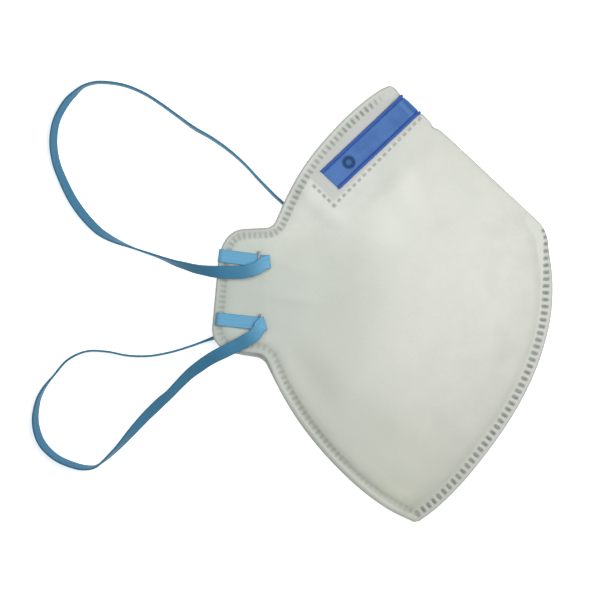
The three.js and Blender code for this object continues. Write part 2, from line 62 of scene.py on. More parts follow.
# Shares of the object's width: the camera's place beside its middle, and the width of the view.
# Share of its height: the plane of the nose fold and the front seam.
AIM_EAST, AIM_NORTH, VIEW_WIDTH, SEAM_PLANE = 0.0159, 0.0019, 1.15, 0.475
object_width = cad_high.x - cad_low.x
object_middle = (cad_low + cad_high) / 2
camera = bpy.data.cameras.new("camera")
camera.lens = LENS
camera.sensor_width = SENSOR
camera.clip_end = 20.0
camera_object = bpy.data.objects.new("camera", camera)
camera_object.location = (
    object_middle.x + object_width * AIM_EAST,
    object_middle.y + object_width * AIM_NORTH,
    cad_high.z * SEAM_PLANE + object_width * VIEW_WIDTH * LENS / SENSOR,
)
scene.collection.objects.link(camera_object)
scene.camera = camera_object

room = bpy.data.worlds.new("white_room")
room.use_nodes = True
room.node_tree.nodes["Background"].inputs["Color"].default_value = (0.98, 1.0, 0.98, 1.0)
room.node_tree.nodes["Background"].inputs["Strength"].default_value = 0.27
scene.world = room


def soft_lamp(name, place, size, watts, colour):
    lamp = bpy.data.lights.new(name, "AREA")
    lamp.shape = "DISK"
    lamp.size = size
    lamp.energy = watts
    lamp.color = colour
    lamp_object = bpy.data.objects.new(name, lamp)
    lamp_object.visible_camera = False
    lamp_object.location = place
    lamp_object.rotation_mode = "QUATERNION"
    lamp_object.rotation_quaternion = (Vector(place) - object_middle).to_track_quat("Z", "Y")
    scene.collection.objects.link(lamp_object)


soft_lamp("nose_side_lamp", (0.075, 0.05, 0.25), 0.26, 0.74, (1.0, 1.0, 1.0))
soft_lamp("strap_side_lamp", (-0.7, -0.1, 1.1), 0.9, 2.0, (0.95, 1.0, 0.97))

floor_mesh = bpy.data.meshes.new("floor")
floor_mesh.from_pydata([(-6, -6, 0), (6, -6, 0), (6, 6, 0), (-6, 6, 0)], [], [(0, 1, 2, 3)])
floor = bpy.data.objects.new("floor", floor_mesh)
floor_paint = bpy.data.materials.new("floor_white")
floor_paint.use_nodes = True
for socket, value in (
    ("Base Color", (0.93, 0.93, 0.93, 1)), ("Roughness", 0.9),
    ("Emission Color", (1, 1, 1, 1)), ("Emission Strength", 0.6),
):
    floor_paint.node_tree.nodes["Principled BSDF"].inputs[socket].default_value = value
floor_mesh.materials.append(floor_paint)
scene.collection.objects.link(floor)


# ---- Filter body -----------------------------------------
# One sheet of bonded non-woven layers, folded along the nose line and welded along the front, so
# that two bulging halves lie on each other. The face edge is open and pressed into a rim with a
# line of weld marks; an ear tab stands out behind. The lower half lies flat on the floor.
MM = 0.001
# Millimetres. belly, rim, tab, fold and flange: how far the outer face of a half stands there from
# the plane of the fold and the seam. rise and rim_length: the lengths over which it gets there from
# an edge. settle: how much the floor flattens the lower half.
BODY = dict(
    wall=1.3, edge_wall=0.75, mid_z=9.4, belly=11.2, settle=0.7, rim=3.8, tab=3.9, fold=2.1,
    flange=0.62, flange_width=4.5, rise=20.0, rim_length=13.0,
)
# The sheet lies flat round the middle of the ear tab, and its halves slip apart under its foot.
TAB_CENTRE = dict(x=-18.0, y=3.0, flat=27.0, end=62.0)
TAB_FOOT = dict(x=-13.0, y=-21.0, radius=9.0, upper=(0.4, 1.15), lower=(-0.1, -0.25))
# Shares of the front edge between which the fold turns into the welded seam.
SEAM_START = (0.36, 0.42)
# Fineness of the mesh: steps along the edges, the section's length from which its columns have
# their full spacing, and how many columns its middle and its inner face have.
EDGE_STEP, SECTION_STEP, FULL_SECTION = 0.8, 0.95, 46
MIDDLE_COLUMNS, INNER_COLUMNS = 32, 20
CLIP = dict(
    foot=np.array([14.35, 45.96]), angle=math.radians(43.4), width=10.2, slope=0.09, pinch=1.6,
    border=3.5, margin=12.0, gap=0.3,
)


def smooth(x, low, high):
    t = np.clip((np.asarray(x, float) - low) / (high - low), 0, 1)
    return t * t * (3 - 2 * t)


def mix(a, b, share):
    return a + (b - a) * share


def ridge(distance, height, width, at=0.0):
    """A rounded ridge beside a line, or a groove where its height is below 0."""
    return height * np.exp(-(((distance - at) / width) ** 2))


def cubic(a, b, leaving, arriving, t):
    """Points at shares t of a curve from a to b that leaves and arrives in given directions."""
    bend = (2 * a - 2 * b + leaving + arriving) * t**3
    return bend + (-3 * a + 3 * b - 2 * leaving - arriving) * t**2 + leaving * t + a


def run_along(points):
    """Length run along a line up to each of its points."""
    steps = np.linalg.norm(np.diff(points, axis=0), axis=1)
    return np.concatenate([[0], np.cumsum(steps)])


def at_lengths(points, lengths):
    """Points at given lengths along a finely drawn line."""
    run = run_along(points)
    return np.stack([np.interp(lengths, run, column) for column in np.transpose(points)], axis=1)


def spaced(points, count):
    """Points at equal distances along a finely drawn line, ends included."""
    return at_lengths(points, np.linspace(0, run_along(points)[-1], count + 1))


def straight(a, b):
    return np.linspace(a, b, 33)


def rounded(a, corner, b):
    t = np.linspace(0, 1, 65)[:, None]
    return (1 - t) ** 2 * np.array(a) + 2 * t * (1 - t) * np.array(corner) + t**2 * np.array(b)


def through(*points):
    """A smooth line through points."""
    p = np.array([points[0], *points, points[-1]], float)
    t = np.linspace(0, 1, 41)[:, None]
    line = []
    for before, a, b, after in zip(p, p[1:], p[2:], p[3:]):
        piece = cubic(a, b, (b - before) / 2, (after - a) / 2, t)
        line.append(piece[1 if line else 0 :])
    return np.concatenate(line)


BROW_EDGE = through(
    (36.8, 82.3), (33.2, 80.5), (26.7, 75.7), (17.8, 67.5), (7.2, 55.3), (-0.3, 43.5), (-6.2, 30.8)
)
CHEEK_EDGE = through(
    (-9.3, -25.4), (-4.3, -35.4), (3.1, -47.3), (13.2, -59.8), (24.7, -71.1), (35.9, -79.5),
    (46.7, -85),
)
FRONT_SEAM = through(
    (98.3, 20.5), (99.9, 6.4), (98.6, -9.5), (92.7, -28.5), (82.3, -47.7), (67.9, -66.9),
    (56.8, -78.4), (48.8, -84.6),
)
# Outline of the open face edge from nose tip to chin tip: the line of each stretch, and the share
# of the closed front edge that lies opposite its end.
FACE_STRETCHES = [
    ("brow edge", BROW_EDGE, 0.387),
    ("tab root", rounded((-6.2, 30.8), (-7.3, 28.3), (-9.5, 27.9)), 0.398),
    ("tab top", straight((-9.5, 27.9), (-18.2, 27.5)), 0.413),
    ("top corner", rounded((-18.2, 27.5), (-26.3, 27.1), (-28.3, 16)), 0.47),
    ("tab side", straight((-28.3, 16), (-30.7, -10)), 0.585),
    ("low corner", rounded((-30.7, -10), (-31.2, -19.5), (-19.5, -20.7)), 0.622),
    ("tab foot", straight((-19.5, -20.7), (-14.5, -21.5)), 0.633),
    ("foot root", rounded((-14.5, -21.5), (-10.7, -21.8), (-9.3, -25.4)), 0.648),
    ("cheek edge", CHEEK_EDGE, 1.0),
]
FRONT_STRETCHES = [
    ("nose tip", rounded((38.2, 82.3), (39.3, 81.8), (41, 80.4))),
    ("nose fold", straight((41, 80.4), (94.1, 30.7))),
    ("front corner", rounded((94.1, 30.7), (98.1, 27), (98.3, 20.5))),
    ("front seam", FRONT_SEAM),
]
FOLD_START, FOLD_END = np.array([41, 80.4]), np.array([94.1, 30.7])
FOLD_ROUND = 0.8 * BODY["fold"]
CLIP_ALONG = np.array([math.cos(CLIP["angle"]), math.sin(CLIP["angle"])])
CLIP_ACROSS = (FOLD_END - FOLD_START) / np.linalg.norm(FOLD_END - FOLD_START)


def cross(a, b):
    return a[..., 0] * b[..., 1] - a[..., 1] * b[..., 0]


def clip_place(plan):
    """Distance of points along the nose clip from its lower end, and across it from its middle."""
    offset = plan - CLIP["foot"]
    turn = cross(CLIP_ALONG, CLIP_ACROSS)
    return cross(offset, CLIP_ACROSS) / turn, cross(CLIP_ALONG, offset) / turn


CLIP_FOLD = clip_place(FOLD_START)[0] - CLIP["pinch"]


def pinched(plan):
    """The clip draws the fold in under it, and the weld line beside it nicks the fold."""
    along, across = clip_place(plan)
    side = CLIP["width"] / 2
    under = CLIP["pinch"] * (1 - smooth(np.abs(across), side - 1.4, side + 1.5))
    tip_side = 0.55 * (1 - smooth(-across, side + 0.5, side + 4.5)) * (across < 0)
    shoulder = ridge(across, 0.35, width=2.0, at=8.0)
    nick = 1.5 * np.exp(-np.abs(across - 12.2) / 1.5)
    depth = np.where(along > 0, np.maximum(under, tip_side) + shoulder + nick, 0)
    return plan - depth[:, None] * CLIP_ALONG


def edge_line(stretches):
    """The stretches of an edge as one line of evenly spaced points."""
    parts = []
    for _, line, *_ in stretches:
        count = max(3, round(run_along(line)[-1] / EDGE_STEP))
        parts.append(spaced(line, count)[0 if not parts else 1 :])
    return np.concatenate(parts)


def nearest(line, plan):
    """Distance of points from a line, and the length run along the line to the nearest place."""
    best, at = np.full(len(plan), np.inf), np.zeros(len(plan))
    for start, end, before in zip(line[:-1], line[1:], run_along(line)):
        step = end - start
        t = np.clip((plan - start) @ step / (step @ step), 0, 1)
        gap = np.linalg.norm(plan - start - t[:, None] * step, axis=1)
        at = np.where(gap < best, before + t * np.linalg.norm(step), at)
        best = np.minimum(best, gap)
    return best, at


FRONT_LINE = pinched(edge_line(FRONT_STRETCHES))
FOLD_LINE = pinched(edge_line(FRONT_STRETCHES[:2]))
SEAM_LINE = edge_line(FRONT_STRETCHES[2:])
FACE_LINE = edge_line(FACE_STRETCHES)
FRONT_LENGTH = run_along(FRONT_LINE)[-1]
FACE_LENGTH = run_along(FACE_LINE)[-1]

RIPPLE_HEIGHT = 0.032
ripples = np.random.default_rng(7)
RIPPLES = [
    (ripples.uniform(0, math.tau), math.tau / ripples.uniform(19, 46), ripples.uniform(0, math.tau))
    for _ in range(11)
]
# Soft dents and swells of the handled sheet: middle, direction of the long axis in degrees, half
# length, half width and height, in millimetres.
DENTS = [
    ("crown under the clip", 43, 44, 108, 15, 5, 0.45),
    ("crown of the belly", 36, 24, 50, 15, 10, 0.80),
    ("hollow above the tab", 4, 19, 60, 12, 6, -0.80),
    ("swell beside the tab", 14, 4, 20, 13, 6, 0.65),
    ("pull from the upper strap", -2, 14, -22, 11, 2.4, 0.55),
    ("pull from the lower strap", -1, 1, -12, 12, 2.4, 0.50),
    ("press line on the tab", -10.4, -4, 90, 13, 0.9, -0.35),
    ("swell over the cheek", 9, -17, -55, 12, 7, 0.60),
    ("cheek hollow", 8, -33, -52, 16, 6, -0.70),
    ("chin hollow", 34, -50, -40, 20, 8, -1.00),
    ("swell over the chin", 62, -46, -50, 11, 5, 0.80),
    ("front swell", 76, -14, 70, 13, 7, 0.60),
    ("front hollow", 60, 20, 80, 12, 6, -0.50),
    ("fold swell", 68, 40, -43, 16, 5, 0.45),
]
# Painted light and painted shade: lighter and darker patches where the sheet's swells and hollows catch
# the light; the same columns, with a share of whiteness last.
PAINTED_LIGHT_AND_SHADE = [
    ("shaded beside the strap", 1, 18, 45, 9, 5, -0.7),
    ("shaded at the cheek", 11, -32, -50, 14, 8, -1.1),
    ("shaded over the chin", 33, -51, -30, 13, 9, -0.6),
    ("shaded at the front", 57, 29, 20, 8, 4, -0.5),
    ("shaded by the front corner", 79, 27, 100, 8, 3.5, -0.5),
    ("shaded by the front seam", 79, -22, 60, 7, 4, -0.5),
    ("lit on the belly", 36, 26, 60, 13, 9, 0.7),
    ("lit over the chin", 66, -49, 20, 9, 5, 0.6),
    ("lit beside the tab", 9, 4, 20, 10, 6, 0.4),
    ("lit under the clip", 45, 45, 107, 13, 5, 0.9),
]


def swells(plan, table):
    """Sum of soft round-edged patches over the sheet."""
    total = np.zeros(len(plan))
    for _, x, y, turn, length, width, height in table:
        a = math.radians(turn)
        u = ((plan[:, 0] - x) * math.cos(a) + (plan[:, 1] - y) * math.sin(a)) / length
        v = ((plan[:, 1] - y) * math.cos(a) - (plan[:, 0] - x) * math.sin(a)) / width
        total += height * np.exp(-(u**2 + v**2) / 0.9)
    return total


def slack(plan):
    """Height that the soft sheet stands over or under its smooth form, in millimetres."""
    waves = sum(
        np.sin(wave * (plan[:, 0] * math.cos(turn) + plan[:, 1] * math.sin(turn)) + phase)
        for turn, wave, phase in RIPPLES
    )
    return RIPPLE_HEIGHT * waves + swells(plan, DENTS)


def softly_lower(a, b, blend):
    """The lower of two heights, with the crease between them eased over."""
    share = np.clip(0.5 + (b - a) / (2 * blend), 0, 1)
    return mix(b, a, share) - blend * share * (1 - share)


def rising(distance, root, turn):
    """Height of the sheet over its closed edge: a rounded root, then a long rise to the belly."""
    roundness = np.sqrt(1 - (1 - np.clip(0.02 + distance / turn, 0, 1)) ** 2)
    rise = 1 - np.exp(-np.maximum(0, distance) / BODY["rise"])
    return root * roundness + (BODY["belly"] - root) * rise, roundness


def half_height(plan, face):
    """Half the distance between the outer faces of the two halves, without the fine relief."""
    from_fold = nearest(FOLD_LINE, plan)[0]
    from_seam = nearest(SEAM_LINE, plan)[0]
    flange = np.minimum(BODY["flange_width"], 0.6 * (from_seam + face))
    over_fold, roundness = rising(from_fold, BODY["fold"], FOLD_ROUND)
    over_seam = rising(from_seam - flange, root=0.0, turn=1.0)[0] + BODY["flange"]
    half = softly_lower(over_fold, over_seam, blend=1.6)
    half = half - np.maximum(0, half - BODY["rim"]) * np.exp(-face / BODY["rim_length"])
    from_tab = np.hypot(plan[:, 0] - TAB_CENTRE["x"], plan[:, 1] - TAB_CENTRE["y"])
    tab = 1 - smooth(from_tab, TAB_CENTRE["flat"], TAB_CENTRE["end"])
    half = mix(half, np.minimum(half, BODY["tab"]), tab)
    along, across = clip_place(plan)
    seat = BODY["fold"] * roundness + CLIP["slope"] * np.maximum(0, CLIP_FOLD - along)
    beside = np.maximum(0, np.abs(across) - CLIP["width"] / 2 - CLIP["border"])
    below = np.maximum(0, -along - CLIP["border"])
    return mix(half, seat, 1 - smooth(np.hypot(beside, below), 0, CLIP["margin"]))


def across_line(line, lengths, depth):
    """Places at a depth beside a line, and the direction there across it."""
    a, b = at_lengths(line, lengths - 0.2), at_lengths(line, lengths + 0.2)
    heading = (b - a) / np.linalg.norm(b - a, axis=1)[:, None]
    side = np.column_stack([-heading[:, 1], heading[:, 0]])
    return (a + b) / 2 + side * np.asarray(depth)[..., None], np.arctan2(side[:, 1], side[:, 0])


# The weld marks: those of the face edge stand on a line inside it, whose pitch changes from
# stretch to stretch, and those of the front seam grow from small dots below the front corner. The
# dots by the clip stand in two straight rows from one corner, each with its end and its number of
# steps. Lengths in millimetres.
FACE_DEPTH = dict(length=(66, 74, 140, 150), depth=(3.0, 2.8, 2.8, 3.35))
FACE_PRESS = dict(
    length=(2, 12, 25, 35, 66, 76, 138, 148, 158, 170, 196, 206, 226, 233, 241, 247),
    press=(0, 1, 1, 0.75, 0.75, 0.5, 0.4, 0.3, 0.4, 0.5, 0.45, 0.15, 0.12, 0.3, 0.3, 0.8),
)
edge_lengths = np.linspace(0, FACE_LENGTH, round(FACE_LENGTH / EDGE_STEP))
MARK_LINE = across_line(FACE_LINE, edge_lengths, np.interp(edge_lengths, *FACE_DEPTH.values()))[0]
PITCHES = dict(edge=(0, 67, 147, FACE_LENGTH), pitch=(2.3, 2.05, 2.25))
MARK_STOPS = np.interp(PITCHES["edge"], edge_lengths, run_along(MARK_LINE))
MARK_COUNTS = np.concatenate([[0], np.cumsum(np.diff(MARK_STOPS) / PITCHES["pitch"])])
FACE_MARK, DOT_MARK = (2.5, 1.05), (1.8, 1.25)
SEAM_ROW = dict(start=81.7, pitch=2.72, width=1.4)
DOT_CORNER = np.array([15.96, 36.4])
DOT_ROWS = ((np.array([48.8, 69.6]), 17), (np.array([8.4, 43.6]), 4))


def seam_depth(at):
    """How far inside the front edge the row of marks stands, at a length along that edge."""
    return mix(0.3, 2.65, smooth(at, 76, 108))


def seam_mark_length(at):
    return mix(1.2, 2.6, smooth(at, 80, 104))


def relief(plan, face, face_at, front, front_at):
    """Pressed rim, weld grooves and slack of the sheet, outwards, in millimetres."""
    cheek = smooth(face_at, 140, 158)
    depth = np.interp(face_at, *FACE_DEPTH.values())
    rim = ridge(face, 0.22, width=0.9) + cheek * ridge(face, 0.15, width=1.0, at=1.5)
    groove = ridge(face, -(0.45 + 0.25 * cheek), width=1.15, at=depth)
    puff = ridge(face, 0.4, width=2.6, at=6.8)
    edge = (rim + groove + puff) * smooth(front, 3, 12)
    seam = smooth(front_at / FRONT_LENGTH, *SEAM_START) * ridge(front, 0.3, width=2.2, at=7.0)
    to_dots = nearest(np.array([DOT_ROWS[0][0], DOT_CORNER, DOT_ROWS[1][0]]), plan)[0]
    dots = ridge(to_dots, -0.45, width=1.3) + ridge(to_dots, 0.3, width=2.2, at=4.5)
    clear = smooth(np.minimum(front, face), 4, 15)
    return edge + seam + dots * smooth(front, 0.5, 3) + slack(plan) * clear


def column_shares(length, scale):
    """Places of a section's columns from face edge to front edge, close where the form turns."""
    from_face = np.array([0, 0.3, 0.7, 1.2, 1.8, 2.4, 3.0, 3.6, 4.3, 5.2, 6.4, 8, 10, 12.5, 15.5])
    from_front = np.array(
        [24, 19, 15, 12, 9.8, 8.2, 7, 6, 5.2, 4.6, 4, 3.3, 2.6, 1.9, 1.3, 0.85, 0.5, 0.25, 0.1, 0]
    )
    start = from_face * scale / length
    end = 1 - from_front * scale / length
    middle = np.linspace(start[-1], end[0], MIDDLE_COLUMNS + 2)[1:-1]
    return np.concatenate([start, middle, end])


def body_sections():
    """Pairs of places on the face edge and the front edge that the sections of the body join."""
    faces, fronts, start = [], [], 0.0
    for _, line, end in FACE_STRETCHES:
        count = max(4, round(run_along(line)[-1] / SECTION_STEP))
        skip = 1 if faces else 0
        faces.extend(spaced(line, count)[skip:])
        fronts.extend(np.linspace(start, end, count + 1)[skip:])
        start = end
    return np.array(faces), at_lengths(FRONT_LINE, np.array(fronts) * FRONT_LENGTH)


def drawn_apart(plan, side):
    """Under the foot of the ear tab the upper half is drawn in, so that the lower one shows."""
    away = np.hypot(plan[:, 0] - TAB_FOOT["x"], plan[:, 1] - TAB_FOOT["y"])
    shift = TAB_FOOT["upper" if side > 0 else "lower"]
    return plan + ridge(away, 1.0, TAB_FOOT["radius"])[:, None] * np.array(shift)


def body_surface(plan, side, inner):
    """One face of one half: its points in millimetres and its distances from the edges."""
    face, face_at = nearest(FACE_LINE, plan)
    front, front_at = nearest(FRONT_LINE, plan)
    half = half_height(plan, face) + relief(plan, face, face_at, front, front_at)
    if inner:
        half = half - mix(BODY["edge_wall"], BODY["wall"], smooth(face, 0.5, 7))
        half = np.maximum(half, 0.1)
    if side < 0:
        sink = BODY["settle"] * smooth(half, 0.6 * BODY["mid_z"], 0.9 * BODY["mid_z"])
        lowest = 0.02 + (BODY["wall"] if inner else 0.0)
        z = np.maximum(lowest, BODY["mid_z"] - half - sink)
    else:
        z = BODY["mid_z"] + half
    from_edges = np.column_stack([face, face_at, front, front_at])
    return np.column_stack([drawn_apart(plan, side), z]), from_edges


face_ends, front_ends = body_sections()
shares_out, shares_in = [], []
for a, b in zip(face_ends, front_ends):
    length = np.linalg.norm(b - a)
    wall = min(BODY["wall"], 0.4 * length)
    shares_out.append(column_shares(length, min(1, length / FULL_SECTION)))
    shares_in.append(np.linspace(0, 1, INNER_COLUMNS) * (length - wall) / length)
shares_out, shares_in = np.array(shares_out)[:, :, None], np.array(shares_in)[:, :, None]
outer_grid = face_ends[:, None] * (1 - shares_out) + front_ends[:, None] * shares_out
inner_grid = face_ends[:, None] * (1 - shares_in) + front_ends[:, None] * shares_in

rows = len(face_ends)
points, measures = [], []
for grid, side, inner in (
    (outer_grid, 1, False),
    (outer_grid[:, ::-1], -1, False),
    (inner_grid, -1, True),
    (inner_grid[:, ::-1], 1, True),
):
    found, from_edges = body_surface(grid.reshape(-1, 2), side, inner)
    points.append(found.reshape(rows, -1, 3))
    measures.append(from_edges.reshape(rows, -1, 4))
points = np.concatenate(points, axis=1)
measures = np.concatenate(measures, axis=1).reshape(-1, 4)
index = np.arange(points.shape[0] * points.shape[1]).reshape(points.shape[:2])
ahead = np.roll(index, -1, axis=1)
quads = np.stack([index[:-1], index[1:], ahead[1:], ahead[:-1]], axis=-1).reshape(-1, 4)


def end_caps(ring, flip):
    """Closes one end of the body, where each half is a strip between its outer and inner face."""
    ends = np.cumsum([outer_grid.shape[1], outer_grid.shape[1], inner_grid.shape[1]])
    upper_out, lower_out, lower_in, upper_in = np.split(ring, ends)
    loops = [
        np.concatenate([upper_out, upper_in]),
        np.concatenate([lower_out, lower_in]),
        np.array([upper_out[-1], lower_out[0], lower_in[-1], upper_in[0]]),
    ]
    return [list(map(int, loop[::-1] if flip else loop)) for loop in loops]


def outward(made):
    """Turns the faces outwards if the closed mesh has a negative volume."""
    made.calc_loop_triangles()
    place = np.array([v.co for v in made.vertices])
    a, b, c = np.moveaxis(place[np.array([t.vertices for t in made.loop_triangles])], 1, 0)
    if (a * np.cross(b, c)).sum() < 0:
        made.flip_normals()
    made.update()


def new_mesh(name, places, faces, flat_ends=0):
    """A closed mesh with smooth faces, but for so many flat ones at the end of the list."""
    made = bpy.data.meshes.new(name)
    made.from_pydata((places.reshape(-1, 3) * MM).tolist(), [], faces)
    made.polygons.foreach_set("use_smooth", [i < len(faces) - flat_ends for i in range(len(faces))])
    outward(made)
    return made


def new_object(name, mesh):
    made = bpy.data.objects.new(name, mesh)
    scene.collection.objects.link(made)
    return made


def on_points(mesh, **values):
    """Stores numbers on the points of a mesh, for its material to read."""
    for name, value in values.items():
        stored = mesh.attributes.new(name, "FLOAT", "POINT")
        stored.data.foreach_set("value", np.asarray(value, np.float32))


faces = [list(map(int, q)) for q in quads] + end_caps(index[0], False) + end_caps(index[-1], True)
body_mesh = new_mesh("filter_body_cloth", points, faces)
in_plan = points.reshape(-1, 3)[:, :2]
face_in, face_at, front_in, front_at = measures.T
on_points(
    body_mesh,
    face_in=face_in,
    face_count=np.interp(nearest(MARK_LINE, in_plan)[1], MARK_STOPS, MARK_COUNTS),
    face_across=face_in - np.interp(face_at, *FACE_DEPTH.values()),
    face_press=np.interp(face_at, *FACE_PRESS.values()),
    web=swells(in_plan, PAINTED_LIGHT_AND_SHADE),
    front_in=front_in,
    seam_count=(front_at - SEAM_ROW["start"]) / SEAM_ROW["pitch"],
    seam_across=(front_in - seam_depth(front_at)) / (seam_mark_length(front_at) / 2),
)
body = new_object("filter_body_cloth", body_mesh)


class Weave:
    """A socket in a node tree, so that sums over the surface are written as sums."""

    def __init__(self, tree, socket=None):
        self.tree = tree
        self.socket = socket

    def node(self, kind, settings=None, values=None, out=0):
        made = self.tree.nodes.new(kind)
        for name, value in (settings or {}).items():
            setattr(made, name, value)
        for name, value in (values or {}).items():
            if isinstance(value, Weave):
                self.tree.links.new(value.socket, made.inputs[name])
            else:
                made.inputs[name].default_value = value
        return Weave(self.tree, made.outputs[out])

    def math(self, operation, *values):
        return self.node("ShaderNodeMath", {"operation": operation}, dict(enumerate(values)))

    def __add__(self, other):
        return self.math("ADD", self, other)

    def __sub__(self, other):
        return self.math("SUBTRACT", self, other)

    def __rsub__(self, other):
        return self.math("SUBTRACT", other, self)

    def __mul__(self, other):
        return self.math("MULTIPLY", self, other)

    def __abs__(self):
        return self.math("ABSOLUTE", self)

    def highest(self, other):
        return self.math("MAXIMUM", self, other)

    def step_up(self, low, high):
        """0 below low and 1 above high, with a smooth rise between."""
        ends = {"Value": self, "From Min": low, "From Max": high}
        return self.node("ShaderNodeMapRange", {"interpolation_type": "SMOOTHSTEP"}, ends)

    def step_down(self, low, high):
        return 1 - self.step_up(low, high)

    def object_place(self):
        return self.node("ShaderNodeTexCoord", out=3)

    def attribute(self, name):
        return self.node("ShaderNodeAttribute", {"attribute_name": name}, out=2)

    def axis(self, number):
        return self.node("ShaderNodeSeparateXYZ", None, {0: self}, number)

    def vector(self, operation, *values, out=0):
        values = dict(enumerate((self, *values)))
        return self.node("ShaderNodeVectorMath", {"operation": operation}, values, out)

    def seen_from(self, corner, turn):
        """Millimetres from a corner in plan, along and across a line turned by an angle."""
        values = {"Location": (*(corner * MM), 0), "Rotation": (0, 0, turn), "Scale": (MM, MM, MM)}
        return self.node("ShaderNodeMapping", {"vector_type": "TEXTURE"}, {"Vector": self, **values})

    def noise(self, scale, detail=2.0, rough=0.5):
        values = {"Vector": self, "Scale": scale, "Detail": detail, "Roughness": rough}
        return self.node("ShaderNodeTexNoise", None, values)

    def tint(self, first, second):
        """Goes by this share from one colour to another; either may be a socket."""
        ends = [c if isinstance(c, Weave) else (*c, 1) for c in (first, second)]
        return self.node("ShaderNodeMix", {"data_type": "RGBA"}, {0: self, 6: ends[0], 7: ends[1]}, 2)


def layered(colour, *layers):
    """A colour with others laid over it in turn, each as strongly as its share says."""
    for share, over in layers:
        colour = share.tint(colour, over)
    return colour


def new_material(name):
    material = bpy.data.materials.new(name)
    material.use_nodes = True
    return material, Weave(material.node_tree)


def finish_material(shade, colour, roughness, height, constants):
    """Feeds colour, roughness and relief in millimetres to the shader and sets its constants."""
    shader = shade.tree.nodes["Principled BSDF"]
    bump = shade.node("ShaderNodeBump", None, {"Height": height, "Distance": MM, "Strength": 1.0})
    for name, value in (("Base Color", colour), ("Roughness", roughness), ("Normal", bump)):
        shade.tree.links.new(value.socket, shader.inputs[name])
    for name, value in constants.items():
        shader.inputs[name].default_value = value


def mark_row(count, across, pitch, width):
    """Rounded weld marks in a row: 1 inside each mark and 0 between. Across is 1 at a mark's end."""
    beside = count.math("FRACT", count + 0.5) - 0.5
    u = beside * (2 * pitch / width)
    return (u * u * u * u + across * across * across * across).step_down(0.25, 2.3)


def heading(step):
    return math.atan2(step[1], step[0])


def dot_row(place, start, end, count):
    """Small weld dots on a straight line in plan, one at each end and the rest between."""
    length = np.linalg.norm(end - start)
    on_line = place.seen_from(start, heading(end - start))
    steps = on_line.axis(0) * (count / length)
    inside = steps.step_up(-0.5, -0.48) * steps.step_down(count + 0.48, count + 0.5)
    across = on_line.axis(1) * (2 / DOT_MARK[1])
    return mark_row(steps, across, length / count, DOT_MARK[0]) * inside


nonwoven, shade = new_material("white_nonwoven")
here = shade.object_place()
east, north, up = here.axis(0), here.axis(1), here.axis(2)
face_in, face_across, face_count, face_press = (
    shade.attribute(f"face_{name}") for name in ("in", "across", "count", "press")
)
front_in, seam_across, seam_count, web = (
    shade.attribute(name) for name in ("front_in", "seam_across", "seam_count", "web")
)

face_marks = mark_row(face_count, face_across * (2 / FACE_MARK[0]), PITCHES["pitch"][-1], FACE_MARK[1])
seam_marks = mark_row(seam_count, seam_across, SEAM_ROW["pitch"], SEAM_ROW["width"])
seam_marks = seam_marks * seam_count.step_up(-0.52, -0.48)
dots = [dot_row(here, DOT_CORNER, end, count) for end, count in DOT_ROWS]
patchy = here.noise(95.0, 1.0).step_up(0.25, 0.6)
pressed = face_marks * face_press * (patchy * 0.4 + 0.6)
pressed = pressed.highest(seam_marks).highest(dots[0].highest(dots[1]) * 0.62)

cloud = here.noise(22.0)
mottle = here.noise(140.0, 3.0, 0.6)
fibres = here.noise(1300.0, 3.0, 0.65)
bond_cells = shade.node(
    "ShaderNodeTexVoronoi", {"voronoi_dimensions": "2D"},
    {"Vector": here.vector("MULTIPLY", (1, 1, 0)), "Scale": 950.0, "Randomness": 0.8},
)
bonds = bond_cells.step_down(0.1, 0.5)

# Painted light and shade of the light falling off across the mask: darker at the low cheek, lighter at
# the brow.
low_cheek_painted_shade = east.step_down(0.0, 0.05) * north.step_down(0.0, 0.03)
brow = east.step_down(0.02, 0.05) * north.step_up(0.012, 0.035)
tab = east.step_down(-0.0112, -0.0098)
# In the clip's pocket the cloth is darker: partly the pressed, denser cloth and partly painted shade
# beside the clip.
in_pocket = here.seen_from(DOT_CORNER, heading(DOT_ROWS[0][0] - DOT_CORNER))
pocket_press_and_shade = in_pocket.axis(0).step_up(0.2, 1.8) * in_pocket.axis(1).step_up(0.2, 1.6)
# Painted shade in the groove along the face edge's row of weld marks.
mark_groove_painted_shade = abs(face_across).step_down(0.6, 2.0) * (face_press * 0.25 + 0.18)
seam_shade = abs(seam_across).step_down(0.7, 1.5) * seam_count.step_up(-1.0, 2.0)
# Painted highlight along the rolled rim bead of the cheek edge.
rim_bead_painted_highlight = abs(face_in - 1.85).step_down(0.1, 0.75) * face_count.step_up(66, 72)
selvage = front_in.step_down(0.6, 1.9) * seam_count.step_up(-1.0, 4.0)
lower_half = up.step_down(0.0075, 0.0095)
